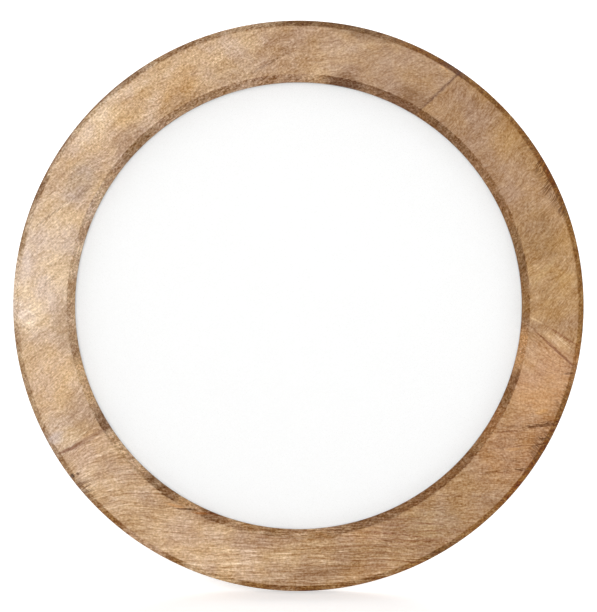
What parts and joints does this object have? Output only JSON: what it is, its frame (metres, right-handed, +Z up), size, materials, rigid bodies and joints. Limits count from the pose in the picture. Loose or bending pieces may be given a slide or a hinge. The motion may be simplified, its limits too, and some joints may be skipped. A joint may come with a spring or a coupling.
{
  "type": "round photo frame",
  "caption": "Round wooden photo frame on a folding strut: a chamfered ring with glass, a blank insert, a back held by swivelling turn buttons, and a wall hanger.",
  "frame": {"origin": "on the table, below the middle of the standing frame's width and depth", "axes": "+X to the right seen from the front, -Y towards the viewer, +Z up; the ring leans back by 15 degrees"},
  "size_m": [0.25, 0.088, 0.2458],
  "materials": {
    "pale_board_wood": "matt waxed mango wood, pale",
    "brown_board_wood": "matt waxed mango wood, brown",
    "clear_glass": "clear sheet glass",
    "white_card": "matt white card",
    "grey_board": "grey packing board",
    "backing_fibreboard": "smooth brown fibreboard",
    "strut_fibreboard": "smooth brown fibreboard",
    "zinc_screws": "zinc plated steel",
    "nickel_steel": "nickel plated sheet steel",
    "rivet_steel": "nickel plated steel",
    "brass_plate": "brass plated pressing",
    "grey_felt": "dark grey wool felt"
  },
  "bodies": {
    "frame": {"ring_board_upper": "pale_board_wood", "ring_board_lower": "brown_board_wood", "glass_pane": "clear_glass", "insert_card": "white_card", "filler_card": "grey_board", "backing_board": "backing_fibreboard", "turn_button_screws": "zinc_screws", "hinge_back_leaf": "nickel_steel", "hinge_pin": "nickel_steel", "back_leaf_rivets": "rivet_steel", "wall_hanger": "brass_plate", "hanger_nails": "brass_plate", "felt_pads": "grey_felt"},
    "strut": {"strut": "strut_fibreboard", "hinge_strut_leaf": "nickel_steel", "strut_leaf_rivets": "rivet_steel"},
    "upper_right_button": {"turn_button_upper_right": "brass_plate"},
    "upper_left_button": {"turn_button_upper_left": "brass_plate"},
    "lower_left_button": {"turn_button_lower_left": "brass_plate"},
    "lower_right_button": {"turn_button_lower_right": "brass_plate"}
  },
  "joints": [
    {"name": "strut_fold", "type": "hinge", "parent": "frame", "child": "strut", "pos_m": [0, 0.0184, 0.15373], "axis": [-1, 0, 0], "range_deg": [0, 24]},
    {"name": "upper_right_button_swivel", "type": "hinge", "parent": "frame", "child": "upper_right_button", "pos_m": [0.0811, 0.02806, 0.19887], "axis": [0, 0.9659, -0.2588], "continuous": true},
    {"name": "upper_left_button_swivel", "type": "hinge", "parent": "frame", "child": "upper_left_button", "pos_m": [-0.0811, 0.02806, 0.19887], "axis": [0, 0.9659, -0.2588], "continuous": true},
    {"name": "lower_left_button_swivel", "type": "hinge", "parent": "frame", "child": "lower_left_button", "pos_m": [-0.0811, -0.01392, 0.04219], "axis": [0, 0.9659, -0.2588], "continuous": true},
    {"name": "lower_right_button_swivel", "type": "hinge", "parent": "frame", "child": "lower_right_button", "pos_m": [0.0811, -0.01392, 0.04219], "axis": [0, 0.9659, -0.2588], "continuous": true}
  ]
}
